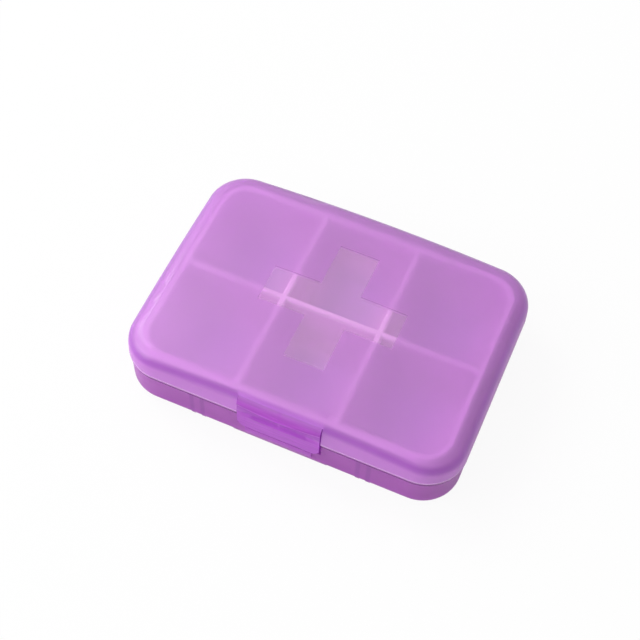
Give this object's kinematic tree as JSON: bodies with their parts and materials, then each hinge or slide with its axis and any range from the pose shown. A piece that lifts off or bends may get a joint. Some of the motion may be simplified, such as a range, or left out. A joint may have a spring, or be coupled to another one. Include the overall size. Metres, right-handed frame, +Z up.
{
  "type": "pill organizer",
  "caption": "Pocket pill box with a crowned frosted lid, clear cross window, front snap tab, back hinge and a divided tray.",
  "frame": {"origin": "on the resting plane, under the middle of the closed box's plan (lid outline)", "axes": "+Z up; +Y to the hinge at the back; -Y to the latch at the front; +X along the length, to the right seen from the front"},
  "size_m": [0.092, 0.0712, 0.0219],
  "materials": {
    "purple_tinted_base": "translucent purple polypropylene, moulded, semi-gloss",
    "natural_tray": "milky natural polypropylene, moulded, satin",
    "purple_frosted_lid": "translucent purple polypropylene, frosted, with a polished cross window",
    "purple_glossy_tab": "translucent purple polypropylene, polished",
    "pin_steel": "drawn wire, bright"
  },
  "bodies": {
    "base": {"base_shell": "purple_tinted_base", "compartment_tray": "natural_tray", "hinge_pin_left": "pin_steel", "hinge_pin_right": "pin_steel"},
    "lid": {"lid_shell": "purple_frosted_lid"},
    "latch": {"latch_tab": "purple_glossy_tab"}
  },
  "joints": [
    {"name": "lid_hinge", "type": "hinge", "parent": "base", "child": "lid", "pos_m": [0, 0.035, 0.0104], "axis": [-1, 0, 0], "range_deg": [0, 170]},
    {"name": "latch_flex", "type": "hinge", "parent": "lid", "child": "latch", "pos_m": [0, -0.03231, 0.0188], "axis": [-1, 0, 0], "range_deg": [0, 8], "stiffness_Nm_per_rad": 0.2}
  ]
}
